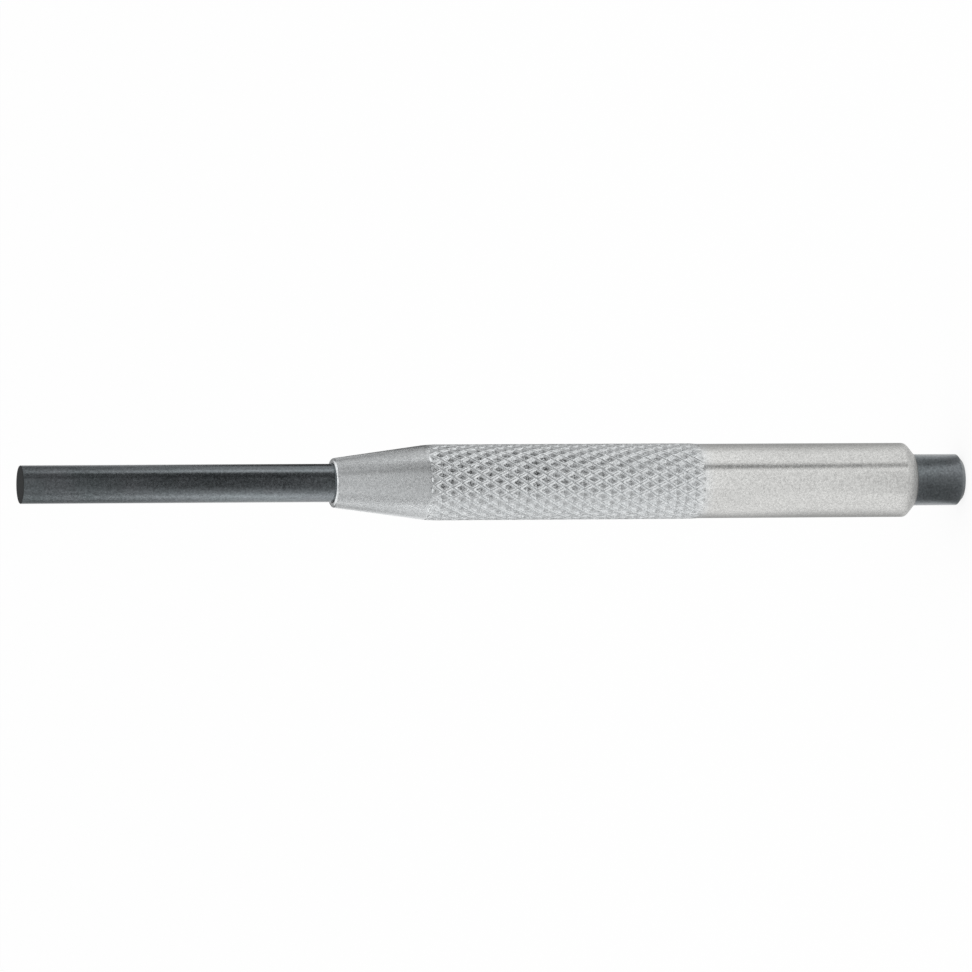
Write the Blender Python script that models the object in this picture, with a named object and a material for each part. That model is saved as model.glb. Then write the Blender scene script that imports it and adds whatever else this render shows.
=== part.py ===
"""Pin punch with a captive guide sleeve, standing on its struck head.

Three pieces share one axis. The punch is a turned rod: a slim pin, a conical
shoulder and a thicker shank that ends in the struck head. The guide sleeve is a
turned tube with a diamond-knurled grip. Its nose bore guides the pin, its main bore
clears the shank, and its closed-in rear mouth guides the shank. A split spring ring
in a groove of the shank drags in the main bore, and stops the sleeve at its rear
mouth when the nose is level with the tip.

Units are metres. +Z runs along the axis from the head to the tip, and the origin is
the middle of the struck face.
"""

import math

import bmesh
import bpy

# Lengths along the axis
HEAD_STANDOUT = 0.0080
SLEEVE_LENGTH = 0.0930
PIN_STANDOUT = 0.0490

# Punch
PIN_DIAMETER = 0.0059
SHANK_DIAMETER = 0.0080
SHOULDER_HALF_ANGLE = math.radians(59)
HEAD_CHAMFER_WIDTH = 0.0010
HEAD_CHAMFER_LENGTH = 0.00085
TIP_EDGE_BREAK = 0.00012

# Guide sleeve
SLEEVE_WALL = 0.00138
NOSE_WALL = 0.0008
NOSE_CONE_LENGTH = 0.0152
NOSE_EDGE_RADIUS = 0.0004
NOSE_BORE_LENGTH = 0.0120
REAR_MOUTH_LENGTH = 0.0024
REAR_MOUTH_STEP = 0.0003
REAR_RIM_WIDTH = 0.00008
REAR_CONE_HALF_ANGLE = math.radians(49)
REAR_CORNER_RADIUS = 0.0008

# Diamond knurl: its reach past the large end of the nose cone, which is turned after it,
# the axial spacing of each family of grooves, and the groove section
KNURL_PAST_CONE = 0.00047
KNURL_LENGTH = 0.0433
KNURL_STARTS = 21
KNURL_FIRST_ANGLE = math.radians(7.5)
KNURL_STEEP_SPACING = 0.002543
KNURL_SHALLOW_SPACING = 0.00363
KNURL_DEPTH = 0.00018
KNURL_RISE = 0.00009
KNURL_RUNOUT = 0.0003
KNURL_RIM_SHARE = 0.62

# Split spring ring in the shank
RING_WIDTH = 0.0009
RING_THICKNESS = 0.0008
RING_SPLIT = 0.0012

# Clearances: radial ones first, then axial ones
PIN_CLEARANCE = 0.00005
SHANK_CLEARANCE = 0.0001
RING_CLEARANCE = 0.00005
RING_SIDE_PLAY = 0.0001
SHOULDER_GAP = 0.0001
STOP_GAP = 0.0001

# Facets of the turned forms
TURN_SEGMENTS = 48
ARC_SEGMENTS = 4

# Radii and heights that follow from the sizes above
PIN_RADIUS = PIN_DIAMETER / 2
SHANK_RADIUS = SHANK_DIAMETER / 2
NOSE_BORE_RADIUS = PIN_RADIUS + PIN_CLEARANCE
MOUTH_RADIUS = SHANK_RADIUS + SHANK_CLEARANCE
BORE_RADIUS = MOUTH_RADIUS + REAR_MOUTH_STEP
SLEEVE_RADIUS = BORE_RADIUS + SLEEVE_WALL
NOSE_RADIUS = NOSE_BORE_RADIUS + NOSE_WALL
NOSE_CONE_START = SLEEVE_LENGTH - NOSE_CONE_LENGTH
RING_OUTER_RADIUS = BORE_RADIUS - RING_CLEARANCE
RING_INNER_RADIUS = RING_OUTER_RADIUS - RING_THICKNESS
GROOVE_RADIUS = RING_INNER_RADIUS - RING_CLEARANCE

OVERALL_LENGTH = HEAD_STANDOUT + SLEEVE_LENGTH + PIN_STANDOUT
SHOULDER_SLOPE = math.tan(SHOULDER_HALF_ANGLE)
SEAT_END = SLEEVE_LENGTH - NOSE_BORE_LENGTH
SEAT_START = SEAT_END - (BORE_RADIUS - NOSE_BORE_RADIUS) / SHOULDER_SLOPE
SHOULDER_START = HEAD_STANDOUT + SEAT_START + (BORE_RADIUS - SHANK_RADIUS) / SHOULDER_SLOPE - SHOULDER_GAP
SHOULDER_END = SHOULDER_START + (SHANK_RADIUS - PIN_RADIUS) / SHOULDER_SLOPE
SLEEVE_TRAVEL = PIN_STANDOUT
RING_BASE = HEAD_STANDOUT + REAR_MOUTH_LENGTH + SLEEVE_TRAVEL + STOP_GAP


def cone_radius(height):
    """Radius of the nose cone at a height; its large end is level with the knurl's rims."""
    large_end = SLEEVE_RADIUS + KNURL_RISE
    return large_end - (height - NOSE_CONE_START) * (large_end - NOSE_RADIUS) / NOSE_CONE_LENGTH


def arc(centre, radius, start, end, steps=ARC_SEGMENTS):
    """Points of a round stretch in the (radius, height) plane, angles in radians."""
    angles = [start + (end - start) * step / steps for step in range(steps + 1)]
    return [(centre[0] + radius * math.cos(a), centre[1] + radius * math.sin(a)) for a in angles]


def rounded(before, corner, after, radius):
    """Points that round the corner of a turned outline with an arc tangent to both sides."""
    sides = []
    for end in (before, after):
        span = math.dist(corner, end)
        sides.append(((end[0] - corner[0]) / span, (end[1] - corner[1]) / span, span))
    (ax, ay, a_span), (bx, by, b_span) = sides
    half = math.acos(ax * bx + ay * by) / 2
    setback = min(radius / math.tan(half), 0.9 * a_span, 0.9 * b_span)
    radius = setback * math.tan(half)
    reach = radius / math.sin(half)
    mid_x, mid_y = ax + bx, ay + by
    mid = math.hypot(mid_x, mid_y)
    centre = (corner[0] + mid_x / mid * reach, corner[1] + mid_y / mid * reach)
    start = math.atan2(corner[1] + ay * setback - centre[1], corner[0] + ax * setback - centre[0])
    end = math.atan2(corner[1] + by * setback - centre[1], corner[0] + bx * setback - centre[0])
    turn = math.remainder(end - start, math.tau)
    return arc(centre, radius, start, start + turn)


def turn_profile(mesh, outline, segments):
    """Spin a (radius, height) outline about Z."""
    verts = [mesh.verts.new((radius, 0, height)) for radius, height in outline]
    edges = [mesh.edges.new(pair) for pair in zip(verts, verts[1:])]
    bmesh.ops.spin(
        mesh,
        geom=verts + edges,
        cent=(0, 0, 0),
        axis=(0, 0, 1),
        angle=math.tau,
        steps=segments,
        use_merge=True,
    )


def boundary_rings(mesh):
    """Open edge loops of a mesh, as lists of edges, from the lowest to the highest."""
    rings = []
    found = set()
    for first in mesh.edges:
        if not first.is_boundary or first in found:
            continue
        found.add(first)
        ring = [first]
        for edge in ring:
            for neighbour in [near for vert in edge.verts for near in vert.link_edges]:
                if neighbour.is_boundary and neighbour not in found:
                    found.add(neighbour)
                    ring.append(neighbour)
        rings.append(ring)
    return sorted(rings, key=lambda ring: ring[0].verts[0].co.z)


def finish(mesh, name, material, height=0.0, sharp_angle=math.radians(28)):
    """Turn a closed bmesh into a smooth-shaded object on the axis, at the given height."""
    bmesh.ops.recalc_face_normals(mesh, faces=mesh.faces)
    data = bpy.data.meshes.new(name)
    mesh.to_mesh(data)
    mesh.free()
    data.shade_smooth()
    data.set_sharp_from_angle(angle=sharp_angle)
    data.materials.append(material)
    piece = bpy.data.objects.new(name, data)
    piece.location = (0, 0, height)
    bpy.context.scene.collection.objects.link(piece)
    return piece


def metal(name, colour, roughness):
    """Bare or plated metal."""
    material = bpy.data.materials.new(name)
    material.use_nodes = True
    shader = material.node_tree.nodes["Principled BSDF"]
    shader.inputs["Base Color"].default_value = (*colour, 1)
    shader.inputs["Roughness"].default_value = roughness
    shader.inputs["Metallic"].default_value = 1
    return material


def punch():
    """Pin, shoulder, shank with the ring groove, and chamfered head, turned from one bar."""
    groove_base = RING_BASE - RING_SIDE_PLAY
    groove_top = RING_BASE + RING_WIDTH + RING_SIDE_PLAY
    tip_radius = PIN_RADIUS - TIP_EDGE_BREAK
    outline = [
        (SHANK_RADIUS - HEAD_CHAMFER_WIDTH, 0),
        (SHANK_RADIUS, HEAD_CHAMFER_LENGTH),
        (SHANK_RADIUS, groove_base),
        (GROOVE_RADIUS, groove_base),
        (GROOVE_RADIUS, groove_top),
        (SHANK_RADIUS, groove_top),
        (SHANK_RADIUS, SHOULDER_START),
        (PIN_RADIUS, SHOULDER_END),
        (PIN_RADIUS, OVERALL_LENGTH - TIP_EDGE_BREAK),
        (tip_radius, OVERALL_LENGTH),
    ]
    mesh = bmesh.new()
    turn_profile(mesh, outline, TURN_SEGMENTS)
    bmesh.ops.holes_fill(mesh, edges=mesh.edges, sides=0)
    return finish(mesh, "punch", metal("blackened_steel", (0.19, 0.22, 0.23), 0.3))


def knurl_band(mesh, base, length):
    """Crossed grooves rolled into the grip, ending in a plain ring of vertices each way.

    The nose cone is turned after the knurl, so nothing stands above it.

    Both families have the same number of starts, so their crossings lie in rows. Between
    the grooves stands a lattice of diamonds. The metal that each groove displaced stands
    up as a rim round the diamond, and the old surface stays lower in its middle.
    """
    row_spacing = 1 / (1 / KNURL_STEEP_SPACING + 1 / KNURL_SHALLOW_SPACING)
    row_shift = row_spacing / KNURL_STEEP_SPACING
    rows = max(2, round(length / row_spacing))
    row_height = length / rows

    def vertex(column, row, radius, lift=0.0):
        angle = KNURL_FIRST_ANGLE + math.tau / KNURL_STARTS * (column + row_shift * row)
        height = base + row_height * row + lift
        radius = min(radius, cone_radius(height)) if height > NOSE_CONE_START else radius
        return mesh.verts.new((radius * math.cos(angle), radius * math.sin(angle), height))

    groove_radius = SLEEVE_RADIUS - KNURL_DEPTH
    grooves = [[vertex(i, row, groove_radius) for i in range(KNURL_STARTS)] for row in range(rows + 1)]

    def crossing(column, row):
        """Place of a groove crossing in the lattice, and its vertex."""
        return (column, row), grooves[row][column % KNURL_STARTS]

    def diamond(column, row, corners, rim_radius, sides):
        """Flanks and middle of one diamond, over its first few sides; give back rim and middle."""
        rim = []
        for (corner_column, corner_row), _ in corners:
            rim_column = column + (corner_column - column) * KNURL_RIM_SHARE
            rim_row = row + (corner_row - row) * KNURL_RIM_SHARE
            rim.append(vertex(rim_column, rim_row, rim_radius))
        middle = vertex(column, row, SLEEVE_RADIUS)
        for side in range(sides):
            after = (side + 1) % len(corners)
            near, far = corners[side][1], corners[after][1]
            mesh.faces.new((near, far, rim[after]))
            mesh.faces.new((near, rim[after], rim[side]))
            mesh.faces.new((rim[side], rim[after], middle))
        return rim, middle

    # In the skewed lattice the corner above has its left neighbour's column, and the
    # corner below has its right neighbour's
    for row in range(1, rows):
        for i in range(KNURL_STARTS):
            corners = [(i, row), (i, row + 1), (i + 1, row), (i + 1, row - 1)]
            rim_radius = SLEEVE_RADIUS + KNURL_RISE
            diamond(i + 0.5, row, [crossing(*corner) for corner in corners], rim_radius, sides=4)

    # At each end the grooves run out, and half diamonds merge with the plain surface
    for row, lift in ((0, -KNURL_RUNOUT), (rows, KNURL_RUNOUT)):
        plain = [vertex(i / 2, row, SLEEVE_RADIUS, lift) for i in range(2 * KNURL_STARTS)]
        for i in range(KNURL_STARTS):
            apex = crossing(i, row + 1) if row == 0 else crossing(i + 1, row - 1)
            left, right = crossing(i, row), crossing(i + 1, row)
            rim, middle = diamond(i + 0.5, row, [left, apex, right], SLEEVE_RADIUS, sides=2)
            start, half, stop = plain[2 * i], plain[2 * i + 1], plain[(2 * i + 2) % len(plain)]
            mesh.faces.new((start, left[1], rim[0]))
            mesh.faces.new((start, rim[0], half))
            mesh.faces.new((half, rim[0], middle))
            mesh.faces.new((half, middle, rim[2]))
            mesh.faces.new((half, rim[2], stop))
            mesh.faces.new((stop, rim[2], right[1]))


def guide_sleeve():
    """Turned tube with a tapered nose, a knurled grip and a closed-in rear mouth."""
    mouth_height = (SLEEVE_RADIUS - MOUTH_RADIUS - REAR_RIM_WIDTH) / math.tan(REAR_CONE_HALF_ANGLE)
    knurl_top = NOSE_CONE_START + KNURL_PAST_CONE
    knurl_base = knurl_top - KNURL_LENGTH
    rear_corner = (SLEEVE_RADIUS, mouth_height)
    rear_rim = (MOUTH_RADIUS + REAR_RIM_WIDTH, 0)
    first_plain = (cone_radius(knurl_top + 2 * KNURL_RUNOUT), knurl_top + 2 * KNURL_RUNOUT)
    nose_corner = (NOSE_RADIUS, SLEEVE_LENGTH)
    nose_mouth = (NOSE_BORE_RADIUS, SLEEVE_LENGTH)
    last_plain = (SLEEVE_RADIUS, knurl_base - 2 * KNURL_RUNOUT)
    outline = [
        first_plain,
        *rounded(first_plain, nose_corner, nose_mouth, NOSE_EDGE_RADIUS),
        nose_mouth,
        (NOSE_BORE_RADIUS, SEAT_END),
        (BORE_RADIUS, SEAT_START),
        (BORE_RADIUS, REAR_MOUTH_LENGTH),
        (MOUTH_RADIUS, REAR_MOUTH_LENGTH),
        (MOUTH_RADIUS, 0),
        rear_rim,
        *rounded(rear_rim, rear_corner, last_plain, REAR_CORNER_RADIUS),
        last_plain,
    ]
    mesh = bmesh.new()
    turn_profile(mesh, outline, 2 * KNURL_STARTS)
    knurl_band(mesh, knurl_base, KNURL_LENGTH)
    plain_rear, knurl_rear, knurl_front, cone_ring = boundary_rings(mesh)
    bmesh.ops.bridge_loops(mesh, edges=plain_rear + knurl_rear)
    bmesh.ops.bridge_loops(mesh, edges=knurl_front + cone_ring)
    material = metal("satin_nickel", (0.68, 0.69, 0.68), 0.3)
    return finish(mesh, "guide_sleeve", material, HEAD_STANDOUT)


def friction_ring():
    """Split spring ring of rectangular section, sprung against the sleeve's main bore."""
    split_angle = RING_SPLIT / RING_OUTER_RADIUS
    mesh = bmesh.new()
    corners = [
        (RING_INNER_RADIUS, 0),
        (RING_OUTER_RADIUS, 0),
        (RING_OUTER_RADIUS, RING_WIDTH),
        (RING_INNER_RADIUS, RING_WIDTH),
    ]
    start = split_angle / 2
    verts = [mesh.verts.new((r * math.cos(start), r * math.sin(start), z)) for r, z in corners]
    section = mesh.faces.new(verts)
    bmesh.ops.spin(
        mesh,
        geom=[section],
        cent=(0, 0, 0),
        axis=(0, 0, 1),
        angle=math.tau - split_angle,
        steps=TURN_SEGMENTS,
    )
    return finish(mesh, "friction_ring", metal("spring_steel", (0.42, 0.42, 0.43), 0.3), RING_BASE)


for old in list(bpy.data.objects):
    bpy.data.objects.remove(old, do_unlink=True)

punch()
guide_sleeve()
friction_ring()
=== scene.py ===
"""Looks of a pin punch with a knurled guide sleeve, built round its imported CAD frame.

The tool stands on its struck head, +Z up its axis, in metres. The dark punch and the
nickel-plated sleeve are rebuilt as fine meshes in the place of their CAD nodes, and the
spring ring inside keeps its CAD mesh. The camera lies on its side, so the standing tool
fills the picture from left to right.
"""

import logging
import math
from collections.abc import Iterable, Sequence
from dataclasses import dataclass
from enum import Enum
from typing import Any

import bpy
from mathutils import Matrix, Vector


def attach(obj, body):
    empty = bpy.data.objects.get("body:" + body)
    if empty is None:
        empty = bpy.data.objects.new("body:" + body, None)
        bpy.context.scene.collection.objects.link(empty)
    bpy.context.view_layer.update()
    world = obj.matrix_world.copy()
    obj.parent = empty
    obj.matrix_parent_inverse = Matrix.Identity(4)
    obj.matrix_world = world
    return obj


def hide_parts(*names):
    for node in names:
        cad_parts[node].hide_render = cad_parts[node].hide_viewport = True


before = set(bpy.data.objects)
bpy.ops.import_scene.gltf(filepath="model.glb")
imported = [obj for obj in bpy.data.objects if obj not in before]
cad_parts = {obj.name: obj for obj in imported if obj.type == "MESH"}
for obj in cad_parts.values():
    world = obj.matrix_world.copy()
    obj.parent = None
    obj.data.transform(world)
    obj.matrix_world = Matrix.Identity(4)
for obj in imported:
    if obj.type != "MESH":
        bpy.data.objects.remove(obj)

LOG = logging.getLogger("pin_punch")
MM = 0.001
Point = tuple[float, float, float]


# Shader expressions


class Socket:
    """Output of a shader node, used as a number in Python expressions."""

    def __init__(self, nodes: "Nodes", output: bpy.types.NodeSocket) -> None:
        """Keep the output and the tree that it belongs to."""
        self.nodes = nodes
        self.output = output

    def _math(self, operation: str, first: "Operand", second: "Operand") -> "Socket":
        """Add a Math node with two operands."""
        return self.nodes.add("Math", {"operation": operation}, {0: first, 1: second})

    def __add__(self, other: "Operand") -> "Socket":
        """Sum."""
        return self._math("ADD", self, other)

    def __radd__(self, other: "Operand") -> "Socket":
        """Sum, with the number first."""
        return self._math("ADD", other, self)

    def __sub__(self, other: "Operand") -> "Socket":
        """Difference."""
        return self._math("SUBTRACT", self, other)

    def __rsub__(self, other: "Operand") -> "Socket":
        """Difference, with the number first."""
        return self._math("SUBTRACT", other, self)

    def __mul__(self, other: "Operand") -> "Socket":
        """Product."""
        return self._math("MULTIPLY", self, other)

    def __rmul__(self, other: "Operand") -> "Socket":
        """Product, with the number first."""
        return self._math("MULTIPLY", other, self)

    def __truediv__(self, other: "Operand") -> "Socket":
        """Quotient."""
        return self._math("DIVIDE", self, other)


Operand = Socket | float
Colour = tuple[float, float, float]


class Nodes:
    """Node tree of a material or the world, with short ways to add to it."""

    def __init__(self, tree: bpy.types.NodeTree) -> None:
        """Clear the tree, to start from nothing."""
        self.tree = tree
        tree.nodes.clear()

    def add(
        self,
        kind: str,
        settings: dict[str, Any] | None = None,
        inputs: dict[int | str, Any] | None = None,
        output: int | str = 0,
    ) -> Socket:
        """Add any shader node.

        Args:
            kind: The node's type without its ShaderNode prefix.
            settings: Properties of the node, set before its sockets.
            inputs: Values or links for sockets, by index or name.
            output: The output to give back, by index or name.

        Returns:
            The chosen output.
        """
        node = self.tree.nodes.new("ShaderNode" + kind)
        for name, value in (settings or {}).items():
            setattr(node, name, value)
        for name, value in (inputs or {}).items():
            if isinstance(value, Socket):
                self.tree.links.new(value.output, node.inputs[name])
            else:
                node.inputs[name].default_value = value
        return Socket(self, node.outputs[output])

    def result(self, kind: str, shader: Socket) -> None:
        """Link a shader to the tree's output node.

        Args:
            kind: Type of the output node without its ShaderNode prefix.
            shader: The shader that it shows.
        """
        node = self.tree.nodes.new("ShaderNode" + kind)
        self.tree.links.new(shader.output, node.inputs["Surface"])

    def parts(self, vector: Socket) -> tuple[Socket, Socket, Socket]:
        """Split a vector.

        Args:
            vector: The vector to split.

        Returns:
            Its x, y and z.
        """
        first = self.add("SeparateXYZ", inputs={0: vector})
        node = first.output.node
        return first, Socket(self, node.outputs[1]), Socket(self, node.outputs[2])

    def vector(self, x: Operand, y: Operand, z: Operand) -> Socket:
        """Put three numbers together as a vector."""
        return self.add("CombineXYZ", inputs={0: x, 1: y, 2: z})

    def step(self, value: Socket, low: float, high: float) -> Socket:
        """Smooth step from 0 to 1.

        Args:
            value: The number that is tested.
            low: Where the step starts.
            high: Where it ends; below low it runs from 1 down to 0.

        Returns:
            The step, between 0 and 1.
        """
        if low <= high:
            limits = {"From Min": low, "From Max": high, "To Min": 0.0, "To Max": 1.0}
        else:
            limits = {"From Min": high, "From Max": low, "To Min": 1.0, "To Max": 0.0}
        return self.add("MapRange", {"interpolation_type": "SMOOTHSTEP"}, {"Value": value, **limits})

    def root(self, value: Socket) -> Socket:
        """Square root."""
        return self.add("Math", {"operation": "SQRT"}, {0: value})

    def noise(self, place: Socket, scale: float, detail: float = 2.0, rough: float = 0.5) -> Socket:
        """Soft noise from 0 to 1.

        Args:
            place: Where it is read, in metres.
            scale: Blobs in a metre.
            detail: Number of finer layers.
            rough: Strength of each finer layer.

        Returns:
            The noise.
        """
        inputs = {"Vector": place, "Scale": scale, "Detail": detail, "Roughness": rough}
        return self.add("TexNoise", {"noise_dimensions": "3D"}, inputs)

    def lines(self, along: Socket, scale: float, detail: float = 2.0) -> Socket:
        """Noise of one number, for turning marks.

        Args:
            along: The number, in metres.
            scale: Lines in a metre.
            detail: Number of finer layers.

        Returns:
            The noise, from 0 to 1.
        """
        return self.add("TexNoise", {"noise_dimensions": "1D"}, {"W": along * scale, "Detail": detail})

    def mix(self, factor: Operand, first: "Socket | Colour", second: "Socket | Colour") -> Socket:
        """Mix of two colours.

        Args:
            factor: Share of the second colour.
            first: Colour at factor 0.
            second: Colour at factor 1.

        Returns:
            The mixed colour.
        """
        ends = [end if isinstance(end, Socket) else (*end, 1.0) for end in (first, second)]
        inputs = {0: factor, 6: ends[0], 7: ends[1]}
        return self.add("Mix", {"data_type": "RGBA"}, inputs, output=2)

    def tint(self, colour: "Socket | Colour", shade: Socket) -> Socket:
        """Darken or lighten a colour.

        Args:
            colour: The colour.
            shade: The number that it is multiplied by.

        Returns:
            The colour times the number.
        """
        grey = self.add("CombineColor", inputs={0: shade, 1: shade, 2: shade})
        first = colour if isinstance(colour, Socket) else (*colour, 1.0)
        settings = {"data_type": "RGBA", "blend_type": "MULTIPLY"}
        return self.add("Mix", settings, {0: 1.0, 6: first, 7: grey}, output=2)


# Finishes


@dataclass(frozen=True)
class Skin:
    """What changes over a metal surface; the height of its relief is in metres."""

    colour: Socket
    roughness: Socket
    height: Socket
    metallic: Operand = 1.0


@dataclass(frozen=True)
class Metal:
    """Bare or plated metal with grain, turning marks and, on some, painted shade in hollows and on end
    faces.
    """

    name: str
    colour: Colour
    roughness: float

    def shade(self, nodes: Nodes, place: Socket) -> Skin:
        """Work out what changes over the surface.

        Args:
            nodes: The material's tree.
            place: Place on the piece, in metres.

        Returns:
            The skin.
        """
        raise NotImplementedError

    def material(self) -> bpy.types.Material:
        """Build the material.

        Returns:
            The material, all procedural.
        """
        material = bpy.data.materials.new(self.name)
        material.use_nodes = True
        nodes = Nodes(material.node_tree)
        place = nodes.add("TexCoord", output="Object")
        skin = self.shade(nodes, place)
        normal = nodes.add("Bump", inputs={"Strength": 1.0, "Distance": 1.0, "Height": skin.height})
        inputs = {
            "Base Color": skin.colour,
            "Roughness": skin.roughness,
            "Metallic": skin.metallic,
            "Normal": normal,
        }
        nodes.result("OutputMaterial", nodes.add("BsdfPrincipled", inputs=inputs))
        return material


@dataclass(frozen=True)
class NickelPlate(Metal):
    """Matte nickel plate: mottled grain, cooler over the grip, painted shade in the knurl's hollows
    and down the bore.

    Heights and radii are in metres, and scales are blobs or lines in a metre.
    """

    grip_colour: Colour
    grip: tuple[float, float]
    radius: float
    rear: float
    mottle_scale: float = 2900.0
    fine_scale: float = 5600.0
    cloud_scale: float = 160.0
    mark_scale: float = 5200.0
    # Painted shade in the knurl's hollows: the scale of its speckle and its fade towards the rear
    painted_hollow_shade_scale: float = 4600.0
    painted_hollow_shade_fade: float = 30.0 * MM
    hollow_dulling: float = 0.12
    cone_heights: tuple[float, float] = (2.3 * MM, 1.6 * MM)
    cone_plain_share: float = 0.7
    # Painted shade down the bore
    painted_bore_shade: float = 0.5
    mottle_height: float = 0.0060 * MM
    fine_height: float = 0.0025 * MM
    mark_height: float = 0.0008 * MM

    def hollow(self, nodes: Nodes, out: Socket, z: Socket) -> Socket:
        """Where the knurl's hollows are.

        Args:
            nodes: The material's tree.
            out: Distance from the axis.
            z: Height.

        Returns:
            The mask, from 0 to 1.
        """
        low, high = self.grip
        knurled = nodes.step(z, low - 0.3 * MM, low) * nodes.step(z, high + 0.1 * MM, high - 0.3 * MM)
        return nodes.step(out, self.radius + 0.01 * MM, self.radius - 0.06 * MM) * knurled

    def painted_hollow_shade(self, nodes: Nodes, place: Socket, side: Socket, z: Socket) -> Socket:
        """Painted shade in the hollows: speckled, and weaker towards -X, at +X and towards the rear.

        Args:
            nodes: The material's tree.
            place: Place on the sleeve.
            side: Cosine of the turn about the axis from +X.
            z: Height.

        Returns:
            The share of the light that it takes away.
        """
        low = self.grip[0]
        round_grip = nodes.step(side, -0.66, -0.05) * (1 - 0.6 * nodes.step(side, 0.72, 0.95))
        along_grip = 0.42 + 0.58 * nodes.step(z, low, low + self.painted_hollow_shade_fade)
        specks = nodes.step(nodes.noise(place, self.painted_hollow_shade_scale), 0.38, 0.62)
        return (0.14 + 0.86 * round_grip) * along_grip * (0.20 + 0.68 * specks)

    def inside(self, nodes: Nodes, out: Socket, z: Socket) -> Socket:
        """Where the bore is, below the nose cone.

        Args:
            nodes: The material's tree.
            out: Distance from the axis.
            z: Height.

        Returns:
            The mask, from 0 to 1.
        """
        high = self.grip[1]
        below_cone = nodes.step(z, high, high - 1 * MM)
        return nodes.step(out, self.radius - 1.2 * MM, self.radius - 1.45 * MM) * below_cone

    def shade(self, nodes: Nodes, place: Socket) -> Skin:
        """Work out what changes over the plate.

        Args:
            nodes: The material's tree.
            place: Place on the sleeve, in metres.

        Returns:
            The skin.
        """
        x, y, z = nodes.parts(place)
        out = nodes.root(x * x + y * y)
        low = self.grip[0]
        on_grip = nodes.step(z, low - 2 * MM, low + 1 * MM)
        on_rear_cone = nodes.step(z, *(self.rear + height for height in self.cone_heights))
        hollow = self.hollow(nodes, out, z)
        mottle = nodes.noise(place, self.mottle_scale, rough=0.6)
        fine = nodes.noise(place, self.fine_scale)
        clouds = nodes.noise(place, self.cloud_scale)
        marks = nodes.lines(z, self.mark_scale)
        shade = 0.08 + 0.79 * mottle + 0.93 * fine + 0.10 * clouds + 0.04 * marks
        # Painted shade in the knurl's hollows, varying with the side of the sleeve and along the grip
        shade = shade * (1 - hollow * self.painted_hollow_shade(nodes, place, x / out, z))
        # Painted shade down the bore; the rear cone is also a little darker
        shade = shade * (1 - self.painted_bore_shade * self.inside(nodes, out, z)) * (1 - 0.12 * on_rear_cone)
        colour = nodes.tint(nodes.mix(on_grip, self.colour, self.grip_colour), shade)
        roughness = self.roughness - 0.06 + 0.12 * mottle + 0.05 * on_grip
        roughness = roughness + self.hollow_dulling * hollow + 0.25 * on_rear_cone
        height = self.mottle_height * mottle + self.fine_height * fine + self.mark_height * marks
        return Skin(colour, roughness, height, 1 - self.cone_plain_share * on_rear_cone)


@dataclass(frozen=True)
class BlackenedSteel(Metal):
    """Hardened, blackened steel: fine grain, turning marks, a change of hue, and a dull tip face whose
    colour is darkened as painted shade.

    The tip's height is in metres, and scales are blobs or lines in a metre.
    """

    hue_shift: Colour
    tip: float
    grain_scale: float = 3000.0
    drawn_out: float = 0.12
    cloud_scale: float = 220.0
    mark_scale: float = 6500.0
    # Painted shade on the tip face
    tip_painted_shade: float = 0.93
    tip_dulling: float = 0.78
    grain_height: float = 0.0030 * MM
    drawn_height: float = 0.0014 * MM
    mark_height: float = 0.0008 * MM

    def shade(self, nodes: Nodes, place: Socket) -> Skin:
        """Work out what changes over the steel.

        Args:
            nodes: The material's tree.
            place: Place on the punch, in metres.

        Returns:
            The skin.
        """
        x, y, z = nodes.parts(place)
        grain = nodes.noise(place, self.grain_scale, rough=0.6)
        drawn = nodes.noise(nodes.vector(x, y, z * self.drawn_out), self.grain_scale)
        clouds = nodes.noise(place, self.cloud_scale, 3.0)
        marks = nodes.lines(z, self.mark_scale)
        end = nodes.step(z, self.tip - 0.10 * MM, self.tip - 0.04 * MM)
        shade = 0.05 + 1.40 * grain + 0.24 * drawn + 0.16 * clouds + 0.06 * marks
        # Painted shade: the tip face's colour is darkened; its higher roughness and lower metallic are
        # its finish
        shade = shade * (1 - self.tip_painted_shade * end)
        colour = nodes.tint(nodes.mix(clouds, self.colour, self.hue_shift), shade)
        roughness = self.roughness - 0.06 + 0.12 * grain + 0.05 * clouds + self.tip_dulling * end
        height = self.grain_height * grain + self.drawn_height * drawn + self.mark_height * marks
        return Skin(colour, roughness, height, 1 - end)


@dataclass(frozen=True)
class SpringSteel(Metal):
    """Bright spring wire with drawing marks and a film of oil; scales are lines in a metre."""

    grain_scale: float = 4000.0
    mark_scale: float = 16000.0
    mark_height: float = 0.0010 * MM

    def shade(self, nodes: Nodes, place: Socket) -> Skin:
        """Work out what changes over the wire.

        Args:
            nodes: The material's tree.
            place: Place on the ring, in metres.

        Returns:
            The skin.
        """
        _, _, z = nodes.parts(place)
        grain = nodes.noise(place, self.grain_scale)
        marks = nodes.lines(z, self.mark_scale)
        colour = nodes.tint(self.colour, 0.85 + 0.15 * grain + 0.15 * marks)
        roughness = self.roughness + 0.10 * marks - 0.05 * grain
        return Skin(colour, roughness, self.mark_height * marks)


# Meshes turned about Z


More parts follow.
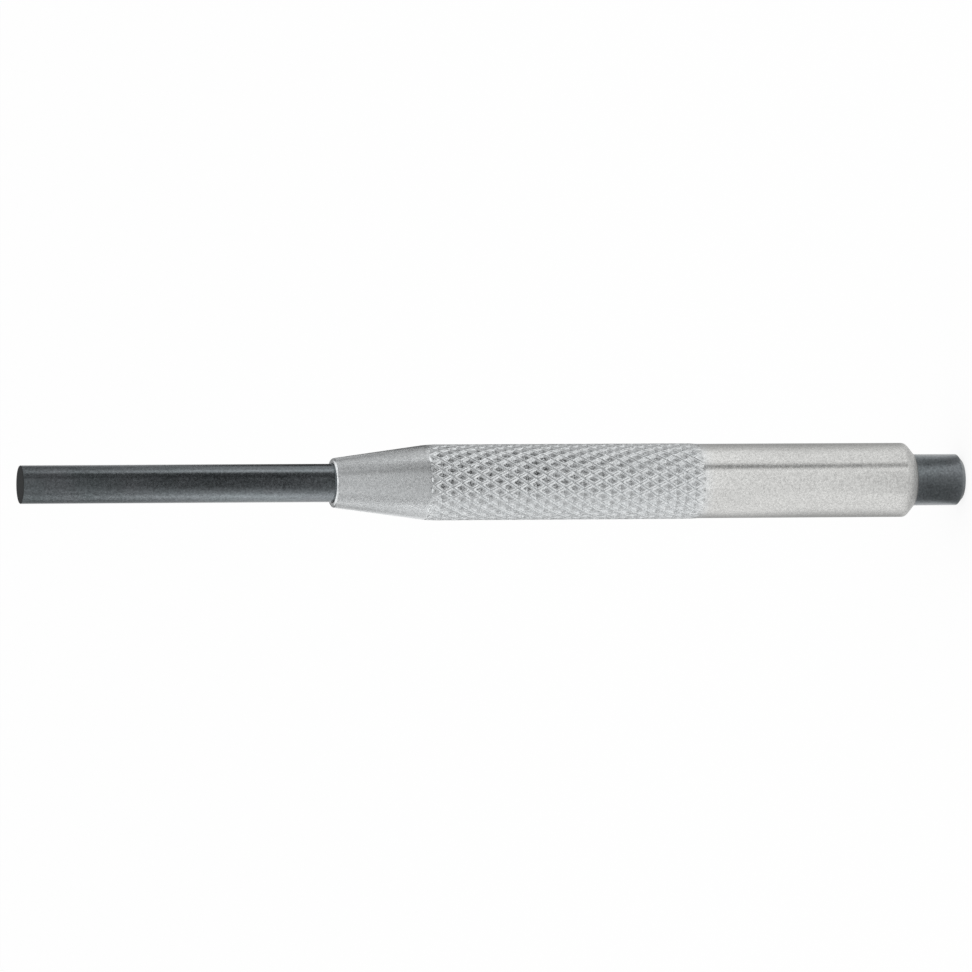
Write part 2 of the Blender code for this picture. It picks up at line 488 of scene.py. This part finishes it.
class Draft:
    """Points and faces of a mesh while it is put together."""

    def __init__(self) -> None:
        """Start with nothing."""
        self.points: list[Point] = []
        self.faces: list[tuple[int, ...]] = []

    def point(self, radius: float, angle: float, height: float) -> int:
        """Add a point.

        Args:
            radius: Distance from the axis.
            angle: Turn about the axis, in radians.
            height: Height above the floor.

        Returns:
            The point's number.
        """
        self.points.append((radius * math.cos(angle), radius * math.sin(angle), height))
        return len(self.points) - 1

    def ring(self, radius: float, height: float, angles: Iterable[float]) -> list[int]:
        """Add a ring of points at the given angles."""
        return [self.point(radius, angle, height) for angle in angles]

    def bridge(self, lower: Sequence[int], upper: Sequence[int]) -> None:
        """Join two rings of the same length with quads.

        Args:
            lower: Points of the first ring.
            upper: Points of the second ring.
        """
        for i in range(len(lower)):
            after = (i + 1) % len(lower)
            self.faces.append((lower[i], lower[after], upper[after], upper[i]))

    def cap(self, ring: Sequence[int], centre: int) -> None:
        """Close a ring with a fan round a centre point."""
        for i in range(len(ring)):
            self.faces.append((ring[i], ring[(i + 1) % len(ring)], centre))

    def build(self, name: str, sharp_angle: float, material: bpy.types.Material) -> bpy.types.Object:
        """Make the object.

        Args:
            name: Its name.
            sharp_angle: Edges that turn further than this stay crisp, in radians.
            material: Its material.

        Returns:
            The object, in the scene.
        """
        mesh = bpy.data.meshes.new(name)
        mesh.from_pydata(self.points, [], self.faces)
        mesh.validate()
        mesh.shade_smooth()
        mesh.set_sharp_from_angle(angle=sharp_angle)
        mesh.materials.append(material)
        piece = bpy.data.objects.new(name, mesh)
        bpy.context.scene.collection.objects.link(piece)
        return piece


Corner = tuple[float, float]
Outline = list[Corner]


def fillet(before: Corner, corner: Corner, after: Corner, radius: float, steps: int) -> Outline:
    """Round the corner of an outline with an arc tangent to both sides.

    Args:
        before: A point on the side that comes in.
        corner: The corner.
        after: A point on the side that goes out.
        radius: Radius of the arc.
        steps: Number of straight steps in it.

    Returns:
        The arc's points.
    """
    middle = Vector(corner)
    inward = (Vector(before) - middle).normalized()
    outward = (Vector(after) - middle).normalized()
    half = math.acos(max(-1.0, min(1.0, inward.dot(outward)))) / 2
    centre = middle + (inward + outward).normalized() * (radius / math.sin(half))
    first = middle + inward * (radius / math.tan(half)) - centre
    last = middle + outward * (radius / math.tan(half)) - centre
    start = math.atan2(first.y, first.x)
    turn = math.remainder(math.atan2(last.y, last.x) - start, math.tau)
    angles = [start + turn * step / steps for step in range(steps + 1)]
    return [(centre.x + radius * math.cos(a), centre.y + radius * math.sin(a)) for a in angles]


@dataclass(frozen=True)
class Punch:
    """Pin, shoulder, shank with the ring groove, and struck head, turned from one bar."""

    pin_radius: float = 2.95 * MM
    shank_radius: float = 4.0 * MM
    length: float = 150.0 * MM
    shoulder: tuple[float, float] = (88.299 * MM, 88.93 * MM)
    groove: tuple[float, float] = (59.4 * MM, 60.5 * MM)
    groove_radius: float = 3.5 * MM
    chamfer_width: float = 1.0 * MM
    chamfer_length: float = 0.85 * MM
    chamfer_edge: float = 0.30 * MM
    tip_edge: float = 0.12 * MM
    face_ring: float = 0.4
    tip_ring: float = 0.6
    edge_steps: int = 4
    segments: int = 128
    sharp_angle: float = math.radians(24)

    def outline(self) -> Outline:
        """Draw the outline of the bar.

        Returns:
            Its radii and heights from the struck face to the tip.
        """
        shank, pin, top = self.shank_radius, self.pin_radius, self.length
        face, side = (shank - self.chamfer_width, 0.0), (shank, self.chamfer_length)
        head = [
            *fillet((0, 0), face, side, self.chamfer_edge, self.edge_steps),
            *fillet(face, side, (shank, 2 * self.chamfer_length), self.chamfer_edge, self.edge_steps),
        ]
        tip = fillet((pin, 0), (pin, top), (0, top), self.tip_edge, self.edge_steps + 1)
        start, end = self.groove
        groove = [(shank, start), (self.groove_radius, start), (self.groove_radius, end), (shank, end)]
        shoulder = [(shank, self.shoulder[0]), (pin, self.shoulder[1])]
        inner_face, inner_tip = (self.face_ring * shank, 0.0), (self.tip_ring * pin, top)
        return [inner_face, *head, *groove, *shoulder, *tip, inner_tip]

    def build(self, finish: Metal) -> bpy.types.Object:
        """Build the bar and put it in its CAD node's place.

        Args:
            finish: The bar's finish.

        Returns:
            The bar.
        """
        draft = Draft()
        angles = [math.tau * i / self.segments for i in range(self.segments)]
        rings = [draft.ring(radius, height, angles) for radius, height in self.outline()]
        for lower, upper in zip(rings, rings[1:]):
            draft.bridge(lower, upper)
        draft.cap(rings[0][::-1], draft.point(0, 0, 0))
        draft.cap(rings[-1], draft.point(0, 0, self.length))
        piece = draft.build("turned_punch", self.sharp_angle, finish.material())
        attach(piece, "punch")
        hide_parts("punch")
        return piece


Step = tuple[int, int]


@dataclass(frozen=True)
class KnurlRing:
    """One of the rings of points inside a diamond of the knurl.

    The share is its size against the diamond, and the roundness runs from 1 for a diamond
    to 2 for an ellipse. The rise is its height above the old surface, and the lift is added
    to it beside the shallow grooves.
    """

    share: float
    roundness: float
    rise: float
    lift: float = 0.0


@dataclass(frozen=True)
class EndRing:
    """Ring of points where the knurl ends, with their turns about the axis."""

    points: list[int]
    angles: list[float]


@dataclass(frozen=True)
class Knurl:
    """Two families of rolled grooves; each diamond between them has a raised rim and a bowl.

    The family that turns faster about the axis, by the steep share of a diamond in a row,
    has the deeper grooves. Heights of the relief are above the old surface, and places in
    the lattice are counted in diamonds round the grip and in rows along it.
    """

    radius: float = 5.78 * MM
    rim_rise: float = 0.09 * MM
    base: float = 42.97 * MM
    top: float = 86.27 * MM
    starts: int = 21
    rows: int = 29
    steep_share: float = 0.588
    first_angle: float = math.radians(7.5)
    groove_rise: float = -0.03 * MM
    shallow_lift: float = 0.065 * MM
    floor_rise: float = -0.125 * MM
    end_fade: float = 0.35
    side_steps: int = 4
    rings: tuple[KnurlRing, ...] = (
        KnurlRing(0.965, 1.0, -0.005 * MM, 0.05 * MM),
        KnurlRing(0.90, 1.02, 0.060 * MM, 0.02 * MM),
        KnurlRing(0.81, 1.05, 0.088 * MM),
        KnurlRing(0.67, 1.10, 0.085 * MM),
        KnurlRing(0.57, 1.16, 0.045 * MM),
        KnurlRing(0.42, 1.24, -0.035 * MM),
        KnurlRing(0.20, 1.35, -0.105 * MM),
    )
    cone_start: float = 85.80 * MM
    cone_slope: float = 0.136184

    def angle(self, column: float, row: float) -> float:
        """Turn about the axis of a place in the lattice, in radians."""
        return self.first_angle + math.tau / self.starts * (column + self.steep_share * row)

    def height(self, row: float) -> float:
        """Height of a place in the lattice."""
        return self.base + (self.top - self.base) * row / self.rows

    def surface(self, height: float) -> float:
        """Radius of the nose cone at a height; its large end is level with the knurl's rims."""
        return self.radius + self.rim_rise - (height - self.cone_start) * self.cone_slope

    def place(self, draft: Draft, column: float, row: float, rise: float) -> int:
        """Add a point of the lattice.

        Args:
            draft: The mesh.
            column: Place round the grip, in diamonds.
            row: Place along it, in rows.
            rise: Height above the old surface; it fades out in the end rows.

        Returns:
            The point's number.
        """
        height = self.height(row)
        fade = min(1.0, self.end_fade + (1 - self.end_fade) * min(row, self.rows - row))
        radius = self.radius + rise * fade
        if height > self.cone_start:
            radius = min(radius, self.surface(height))
        return draft.point(radius, self.angle(column, row), height)

    def border(self, column: int, row: int) -> list[Step]:
        """Find the places on the grooves round a diamond, or round its half in an end row.

        Args:
            column: The diamond's place round the grip.
            row: Its place along the grip.

        Returns:
            The places in steps of a groove, from its left corner upward, or from its right
            corner downward in the last row.
        """
        n = self.side_steps
        left, right, level = column * n, (column + 1) * n, row * n
        border = (
            [(left, level + k) for k in range(n)]
            + [(left + k, level + n - k) for k in range(n)]
            + [(right, level - k) for k in range(n)]
            + [(right - k, level - n + k) for k in range(n)]
        )
        if row == 0:
            return border[: 2 * n + 1]
        if row == self.rows:
            return border[2 * n :] + border[:1]
        return border

    def on_groove(self, draft: Draft, shared: dict[Step, int], step: Step) -> int:
        """Add a point of a groove, unless the diamond beside it has it already.

        Args:
            draft: The mesh.
            shared: Points of the grooves so far, by their places.
            step: Its place in steps of a groove.

        Returns:
            The point's number.
        """
        n = self.side_steps
        step = (step[0] % (self.starts * n), step[1])
        if step not in shared:
            rise = self.groove_rise + (self.shallow_lift if step[0] % n else 0.0)
            shared[step] = self.place(draft, step[0] / n, step[1] / n, rise)
        return shared[step]

    def on_ring(self, draft: Draft, ring: KnurlRing, column: int, row: int, step: Step) -> int:
        """Add a point of a ring, between a diamond's middle and a place on its border.

        Args:
            draft: The mesh.
            ring: The ring.
            column: The diamond's place round the grip.
            row: Its place along the grip.
            step: The place on its border, in steps of a groove.

        Returns:
            The point's number.
        """
        n = self.side_steps
        across, along = step[0] / n - (column + 0.5), step[1] / n - row
        u, v = abs(2 * across + along), abs(along)
        share = ring.share / (u**ring.roundness + v**ring.roundness) ** (1 / ring.roundness)
        rise = ring.rise + (ring.lift if step[0] % n else 0.0)
        return self.place(draft, column + 0.5 + across * share, row + along * share, rise)

    def end_ring(self, draft: Draft, points: list[int], row: int) -> EndRing:
        """Start an end ring at the first angle, as the grooves have turned it on their way.

        Args:
            draft: The mesh.
            points: Its points, from the first diamond on.
            row: Its row.

        Returns:
            The ring, with angles that only grow.
        """
        shift = round(self.steep_share * row) * len(points) // self.starts
        points = points[-shift % len(points) :] + points[: -shift % len(points)]
        angles = [math.atan2(draft.points[i][1], draft.points[i][0]) for i in points]
        for i in range(1, len(angles)):
            angles[i] = angles[i - 1] + (angles[i] - angles[i - 1]) % math.tau
        return EndRing(points, angles)

    def build(self, draft: Draft) -> tuple[EndRing, EndRing]:
        """Add the knurl to a mesh.

        Args:
            draft: The mesh.

        Returns:
            Its lower and its upper end ring.
        """
        shared: dict[Step, int] = {}
        ends: dict[int, list[int]] = {0: [], self.rows: []}
        for row in range(self.rows + 1):
            for column in range(self.starts):
                border = self.border(column, row)
                loops = [[self.on_groove(draft, shared, step) for step in border]]
                for ring in self.rings:
                    loops.append([self.on_ring(draft, ring, column, row, step) for step in border])
                middle = self.place(draft, column + 0.5, row, self.floor_rise)
                self.fill(draft, loops, middle, row not in ends)
                if row in ends:
                    left, right = (0, -1) if row == 0 else (-1, 0)
                    ends[row] += [loop[left] for loop in loops] + [middle]
                    ends[row] += [loop[right] for loop in loops[:0:-1]]
        return self.end_ring(draft, ends[0], 0), self.end_ring(draft, ends[self.rows], self.rows)

    @staticmethod
    def fill(draft: Draft, loops: list[list[int]], middle: int, closed: bool) -> None:
        """Join the loops of one diamond with faces.

        Args:
            draft: The mesh.
            loops: Loops of points from the grooves inward.
            middle: Point in the middle.
            closed: Whether the loops go all the way round.
        """
        count = len(loops[0])
        for k in range(count if closed else count - 1):
            after = (k + 1) % count
            for outer, inner in zip(loops, loops[1:]):
                draft.faces.append((outer[after], outer[k], inner[k], inner[after]))
            draft.faces.append((loops[-1][after], loops[-1][k], middle))


@dataclass(frozen=True)
class GuideSleeve:
    """Turned tube with a tapered nose, a knurled grip and a closed-in rear mouth."""

    base: float = 8.0 * MM
    length: float = 93.0 * MM
    radius: float = 5.78 * MM
    mouth_radius: float = 4.1 * MM
    mouth_length: float = 2.4 * MM
    bore_radius: float = 4.4 * MM
    nose_bore_radius: float = 3.0 * MM
    nose_bore_length: float = 12.0 * MM
    seat_height: float = 0.841 * MM
    nose_radius: float = 3.8 * MM
    nose_edge: float = 0.44 * MM
    nose_inner_edge: float = 0.18 * MM
    rear_rim: float = 0.08 * MM
    rear_edge: float = 0.8 * MM
    rear_cone_angle: float = math.radians(49)
    knurl_ease: tuple[float, ...] = (0.12 * MM, 0.35 * MM, 0.7 * MM, 1.5 * MM)
    nose_steps: int = 8
    rear_steps: int = 10
    sharp_angle: float = math.radians(50)
    knurl: Knurl = Knurl()

    def front(self) -> Outline:
        """Draw the outline of the nose and the bore.

        Returns:
            Its radii and heights from the knurl over the nose and down the bore to the rear mouth.
        """
        knurl = self.knurl
        top = self.base + self.length
        seat = top - self.nose_bore_length
        starts = [knurl.top + ease for ease in self.knurl_ease]
        plain = [(min(self.radius, knurl.surface(height)), height) for height in starts]
        nose, bore = (self.nose_radius, top), (self.nose_bore_radius, top)
        return [
            *plain,
            *fillet(plain[-1], nose, bore, self.nose_edge, self.nose_steps),
            *fillet(nose, bore, (bore[0], seat), self.nose_inner_edge, self.nose_steps - 1),
            (self.nose_bore_radius, seat),
            (self.bore_radius, seat - self.seat_height),
            (self.bore_radius, self.base + self.mouth_length),
            (self.mouth_radius, self.base + self.mouth_length),
        ]

    def rear(self) -> Outline:
        """Draw the outline of the plain rear part.

        Returns:
            Its radii and heights from the rear mouth over the rear rim and up to the knurl.
        """
        base = self.base
        rim = (self.mouth_radius + self.rear_rim, base)
        rise = (self.radius - rim[0]) / math.tan(self.rear_cone_angle)
        corner = (self.radius, base + rise)
        plain = [(self.radius, self.knurl.base - ease) for ease in reversed(self.knurl_ease)]
        edge = fillet(rim, corner, plain[0], self.rear_edge, self.rear_steps)
        return [(self.mouth_radius, base), rim, *edge, *plain]

    def build(self, finish: Metal) -> bpy.types.Object:
        """Build the sleeve and put it in its CAD node's place.

        Args:
            finish: The sleeve's finish.

        Returns:
            The sleeve.
        """
        draft = Draft()
        lower, upper = self.knurl.build(draft)
        rings = [upper.points]
        rings += [draft.ring(radius, height, upper.angles) for radius, height in self.front()]
        rings += [draft.ring(radius, height, lower.angles) for radius, height in self.rear()]
        rings.append(lower.points)
        for before, after in zip(rings, rings[1:]):
            draft.bridge(before, after)
        piece = draft.build("knurled_sleeve", self.sharp_angle, finish.material())
        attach(piece, "sleeve")
        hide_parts("guide_sleeve")
        return piece


@dataclass(frozen=True)
class FrictionRing:
    """Split spring ring inside the sleeve, which keeps its CAD mesh."""

    node: str = "friction_ring"

    def dress(self, finish: Metal) -> bpy.types.Object:
        """Give the CAD node its finish.

        Args:
            finish: The ring's finish.

        Returns:
            The ring.
        """
        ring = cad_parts[self.node]
        material = finish.material()
        for slot in ring.material_slots:
            slot.material = material
        return ring


# Studio


class Ground(Enum):
    """Part of the studio that a card belongs to."""

    FLOOR = "floor"
    SKY = "sky"


@dataclass(frozen=True)
class Card:
    """Reflector or flag round the tool, which the metal shows and the camera doesn't.

    Angles are in degrees. The turn is measured about the tool from the camera's side
    towards +X. On the floor the reach is a distance from the tool in metres, and in the
    sky it is an elevation. Its four numbers are where the card starts to rise, is full,
    starts to fall and is gone; where a pair is equal, the card has no end on that side.
    The level multiplies the light from there, and is 1 where nothing changes.
    """

    ground: Ground
    turn: float
    half_width: float
    fade_back: float
    fade_on: float
    level: float
    reach: tuple[float, float, float, float]

    def mask(self, nodes: Nodes, x: Socket, y: Socket, reach: Socket) -> Socket:
        """Where the card shows.

        Args:
            nodes: The tree.
            x: Part of the direction from the tool along X.
            y: Part of it along Y.
            reach: Distance or elevation.

        Returns:
            The mask, from 0 to 1.
        """
        sine, cosine = math.sin(math.radians(self.turn)), math.cos(math.radians(self.turn))
        offset = nodes.add(
            "Math", {"operation": "ARCTAN2"}, {0: cosine * x + sine * y, 1: sine * x - cosine * y}
        ) * math.degrees(1)
        start, end = -self.half_width, self.half_width
        mask = nodes.step(offset, start - self.fade_back, start)
        mask = mask * nodes.step(offset, end + self.fade_on, end)
        rise_start, rise_end, fall_start, fall_end = self.reach
        if rise_end > rise_start:
            mask = mask * nodes.step(reach, rise_start, rise_end)
        if fall_end > fall_start:
            mask = mask * nodes.step(reach, fall_end, fall_start)
        return mask


FLOOR, SKY = Ground.FLOOR, Ground.SKY

# Reaches: those on the floor are named for what reflects them, those in the sky for their place
HEAD = (0.0, 0.0, 0.004, 0.010)
NEAR_STUB = (0.0, 0.0, 0.016, 0.026)
STUB = (0.0, 0.0, 0.024, 0.033)
REAR = (0.024, 0.033, 0.16, 0.22)
NEAR_REAR = (0.024, 0.033, 0.045, 0.070)
FAR_REAR = (0.09, 0.13, 0.16, 0.22)
GRIP = (0.16, 0.22, 0.36, 0.42)
NEAR_GRIP = (0.15, 0.19, 0.24, 0.36)
PIN = (0.36, 0.42, 2.0, 2.8)
NEAR_PIN = (0.36, 0.42, 0.60, 0.74)
FAR_PIN = (0.58, 0.64, 0.80, 0.92)
PIN_END = (0.64, 0.72, 0.80, 0.88)
NOSE_EDGE = (0.56, 0.70, 1.0, 2.0)
BEYOND = (0.74, 0.90, 2.0, 2.8)
FAR = (2.0, 2.8, 0.0, 0.0)
HORIZON = (0.0, 0.0, 8.0, 14.0)
LOW_SKY = (0.0, 0.0, 8.0, 30.0)
BACK_SKY = (-30.0, -20.0, 22.0, 32.0)
MIDDLE_SKY = (12.0, 20.0, 50.0, 65.0)
HIGH_SKY = (10.0, 20.0, 60.0, 75.0)
CARDS = (
    # Stub: dark all round the front, with one light streak
    Card(FLOOR, 0, 80, 45, 45, 0.38, STUB),
    Card(FLOOR, 0, 80, 45, 45, 1.60, HEAD),
    Card(FLOOR, -50, 30, 30, 30, 1.35, NEAR_STUB),
    Card(FLOOR, 44, 4, 45, 18, 0.55, HEAD),
    Card(FLOOR, -62, 25, 40, 45, 0.55, STUB),
    Card(FLOOR, 44, 4, 45, 18, 2.3, STUB),
    # Plain rear part: pale, with one thin dark line, and falling off to the sides
    Card(FLOOR, 0, 22, 40, 12, 0.84, REAR),
    Card(FLOOR, 0, 22, 40, 12, 0.88, NEAR_REAR),
    Card(FLOOR, 44, 3, 7, 7, 0.30, REAR),
    Card(FLOOR, 44, 3, 7, 7, 0.50, FAR_REAR),
    Card(FLOOR, 85, 25, 15, 30, 0.86, REAR),
    Card(FLOOR, -85, 20, 25, 25, 0.90, REAR),
    Card(FLOOR, -125, 15, 15, 20, 1.25, FAR_REAR),
    Card(FLOOR, 180, 34, 60, 60, 0.40, REAR),
    # Grip: greyer, and lighter towards the rear
    Card(FLOOR, 20, 75, 60, 60, 0.86, GRIP),
    Card(FLOOR, -90, 42, 30, 35, 0.44, GRIP),
    Card(FLOOR, 20, 100, 60, 60, 1.36, NEAR_GRIP),
    Card(FLOOR, 44, 5, 8, 8, 0.40, GRIP),
    Card(FLOOR, 170, 38, 40, 40, 0.22, GRIP),
    # Pin: dark in front, light from below, with a light streak above
    Card(FLOOR, 30, 34, 85, 10, 0.05, PIN),
    Card(FLOOR, 108, 12, 12, 10, 0.80, PIN),
    Card(FLOOR, 80, 5, 8, 8, 1.30, PIN),
    Card(FLOOR, 152, 24, 12, 10, 0.04, NEAR_PIN),
    Card(FLOOR, -107, 14, 12, 30, 1.50, NEAR_PIN),
    Card(FLOOR, -66, 16, 20, 16, 2.00, FAR_PIN),
    Card(FLOOR, -98, 18, 14, 22, 1.35, PIN_END),
    Card(FLOOR, 80, 6, 9, 9, 1.60, PIN_END),
    # Nose cone: it reflects the floor far off and the horizon
    Card(FLOOR, -95, 35, 25, 30, 0.50, BEYOND),
    Card(FLOOR, -135, 20, 20, 16, 0.55, NOSE_EDGE),
    Card(FLOOR, 98, 30, 25, 25, 0.50, BEYOND),
    Card(FLOOR, -100, 35, 25, 30, 0.74, FAR),
    Card(FLOOR, 100, 30, 25, 25, 0.66, FAR),
    Card(FLOOR, 150, 30, 25, 30, 0.50, BEYOND),
    Card(FLOOR, 0, 60, 60, 70, 0.60, FAR),
    Card(FLOOR, 43, 4, 5, 5, 0.5, FAR),
    Card(FLOOR, 180, 28, 52, 52, 0.6, FAR),
    # Sky: low down for the nose cone, higher up for the rounded edges, behind for the tip face
    Card(SKY, 0, 60, 60, 70, 0.60, LOW_SKY),
    Card(SKY, -100, 35, 25, 30, 0.68, LOW_SKY),
    Card(SKY, 100, 30, 25, 25, 0.60, LOW_SKY),
    Card(SKY, 43, 4, 5, 5, 0.5, HORIZON),
    Card(SKY, 20, 35, 25, 25, 0.35, MIDDLE_SKY),
    Card(SKY, -45, 40, 30, 30, 0.78, HIGH_SKY),
    Card(SKY, 180, 44, 30, 30, 0.22, BACK_SKY),
)


@dataclass(frozen=True)
class Studio:
    """Pale floor, plain soft light and the cards that shape the metal's reflections."""

    floor_size: float = 8.0
    white: float = 0.991
    shadow_share: float = 0.14
    paper: float = 0.8
    ambient: float = 0.85
    glow: float = 0.870
    lamp_place: Point = (0.12, -0.42, 0.95)
    lamp_size: float = 0.5
    lamp_power: float = 0.6
    lamp_aim: Point = (0.0, 0.0, 75 * MM)

    def reflections(self, nodes: Nodes, ground: Ground, x: Socket, y: Socket, reach: Socket) -> Socket:
        """Light that the metal sees from the floor or the sky.

        Args:
            nodes: The tree.
            ground: Floor or sky.
            x: Part of the direction from the tool along X.
            y: Part of it along Y.
            reach: Distance or elevation.

        Returns:
            The level, 1 where no card stands.
        """
        level: Operand = 1.0
        for card in CARDS:
            if card.ground is ground:
                level = level * (1 - (1 - card.level) * card.mask(nodes, x, y, reach))
        return level

    def floor(self) -> bpy.types.Object:
        """Lay the floor, white to the camera but for the tool's soft shadow.

        Returns:
            The floor.
        """
        material = bpy.data.materials.new("studio_floor")
        material.use_nodes = True
        nodes = Nodes(material.node_tree)
        x, y, _ = nodes.parts(nodes.add("NewGeometry", output="Position"))
        level = self.reflections(nodes, FLOOR, x, y, nodes.root(x * x + y * y))
        glossy = nodes.add("LightPath", output="Is Glossy Ray")
        card = nodes.add("Emission", inputs={"Color": (1, 1, 1, 1), "Strength": level})
        glow = nodes.add("Emission", inputs={"Color": (1, 1, 1, 1), "Strength": self.glow})
        shadow, paper = (
            nodes.add("BsdfDiffuse", inputs={"Color": (grey, grey, grey, 1)})
            for grey in (self.shadow_share, self.paper)
        )
        to_camera = nodes.add("AddShader", inputs={0: glow, 1: shadow})
        camera = nodes.add("LightPath", output="Is Camera Ray")
        matte = nodes.add("MixShader", inputs={0: camera, 1: paper, 2: to_camera})
        nodes.result("OutputMaterial", nodes.add("MixShader", inputs={0: glossy, 1: matte, 2: card}))
        half = self.floor_size / 2
        mesh = bpy.data.meshes.new("studio_floor")
        square = [(-half, -half, 0), (half, -half, 0), (half, half, 0), (-half, half, 0)]
        mesh.from_pydata(square, [], [(0, 1, 2, 3)])
        mesh.materials.append(material)
        floor = bpy.data.objects.new("studio_floor", mesh)
        bpy.context.scene.collection.objects.link(floor)
        return floor

    def world(self) -> None:
        """Fill the air with plain white light, and hang the cards that glossy rays see."""
        world = bpy.data.worlds.new("studio_air")
        world.use_nodes = True
        bpy.context.scene.world = world
        nodes = Nodes(world.node_tree)
        x, y, z = nodes.parts(nodes.add("TexCoord", output="Generated"))
        elevation = nodes.add("Math", {"operation": "ARCSINE"}, {0: z}) * math.degrees(1)
        level = self.reflections(nodes, SKY, x, y, elevation)
        glossy = nodes.add("LightPath", output="Is Glossy Ray")
        camera = nodes.add("LightPath", output="Is Camera Ray")
        strength = glossy * level + (1 - glossy) * (camera * self.white + (1 - camera) * self.ambient)
        air = nodes.add("Background", inputs={"Color": (1, 1, 1, 1), "Strength": strength})
        nodes.result("OutputWorld", air)

    def lamp(self) -> bpy.types.Object:
        """Hang the soft lamp that points at the middle of the tool.

        Returns:
            The lamp.
        """
        light = bpy.data.lights.new("top_softbox", "AREA")
        light.size = self.lamp_size
        light.energy = self.lamp_power
        lamp = bpy.data.objects.new("top_softbox", light)
        lamp.location = self.lamp_place
        aim = Vector(self.lamp_aim) - Vector(self.lamp_place)
        lamp.rotation_euler = aim.to_track_quat("-Z", "Y").to_euler()
        lamp.visible_camera = False
        bpy.context.scene.collection.objects.link(lamp)
        return lamp

    def build(self) -> None:
        """Set up the floor, the air and the lamp."""
        self.floor()
        self.world()
        self.lamp()
        bpy.context.scene.view_settings.view_transform = "Standard"


@dataclass(frozen=True)
class View:
    """Camera on its side, a little above the middle of the tool."""

    lens: float = 400.0
    sensor: float = 36.0
    distance: float = 1.6719
    tilt: float = math.radians(13.8)
    roll: float = math.radians(0.317)
    target: Point = (-0.60 * MM, 0.0, 76.48 * MM)

    def build(self) -> bpy.types.Object:
        """Set up the camera.

        Returns:
            The camera, which is now the scene's.
        """
        data = bpy.data.cameras.new("view")
        data.lens = self.lens
        data.sensor_width = self.sensor
        camera = bpy.data.objects.new("view", data)
        forward = Vector((0, math.cos(self.tilt), -math.sin(self.tilt)))
        right = Vector((0, -math.sin(self.tilt), -math.cos(self.tilt)))
        right.rotate(Matrix.Rotation(self.roll, 3, forward))
        up = forward.cross(right) * -1
        turn = Matrix((right, up, -forward)).transposed().to_4x4()
        camera.matrix_world = Matrix.Translation(Vector(self.target) - forward * self.distance) @ turn
        bpy.context.scene.collection.objects.link(camera)
        bpy.context.scene.camera = camera
        return camera


def report(piece: bpy.types.Object) -> None:
    """Log a piece's name and number of triangles."""
    piece.data.calc_loop_triangles()
    LOG.info("%s: %d triangles", piece.name, len(piece.data.loop_triangles))


def main() -> None:
    """Build the studio, the tool and the camera, and note the sizes."""
    logging.basicConfig(level=logging.INFO, format="%(message)s")
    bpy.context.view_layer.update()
    punch, sleeve = Punch(), GuideSleeve()
    steel = BlackenedSteel(
        name="blackened_steel_look",
        colour=(0.190, 0.222, 0.230),
        roughness=0.20,
        hue_shift=(0.215, 0.222, 0.238),
        tip=punch.length,
    )
    nickel = NickelPlate(
        name="satin_nickel_look",
        colour=(0.715, 0.715, 0.700),
        roughness=0.22,
        grip_colour=(0.800, 0.822, 0.832),
        grip=(sleeve.knurl.base, sleeve.knurl.top),
        radius=sleeve.radius,
        rear=sleeve.base,
    )
    spring = SpringSteel(name="spring_steel_look", colour=(0.42, 0.42, 0.43), roughness=0.28)
    View().build()
    Studio().build()
    report(punch.build(steel))
    report(sleeve.build(nickel))
    report(FrictionRing().dress(spring))


if __name__ == "__main__":
    main()
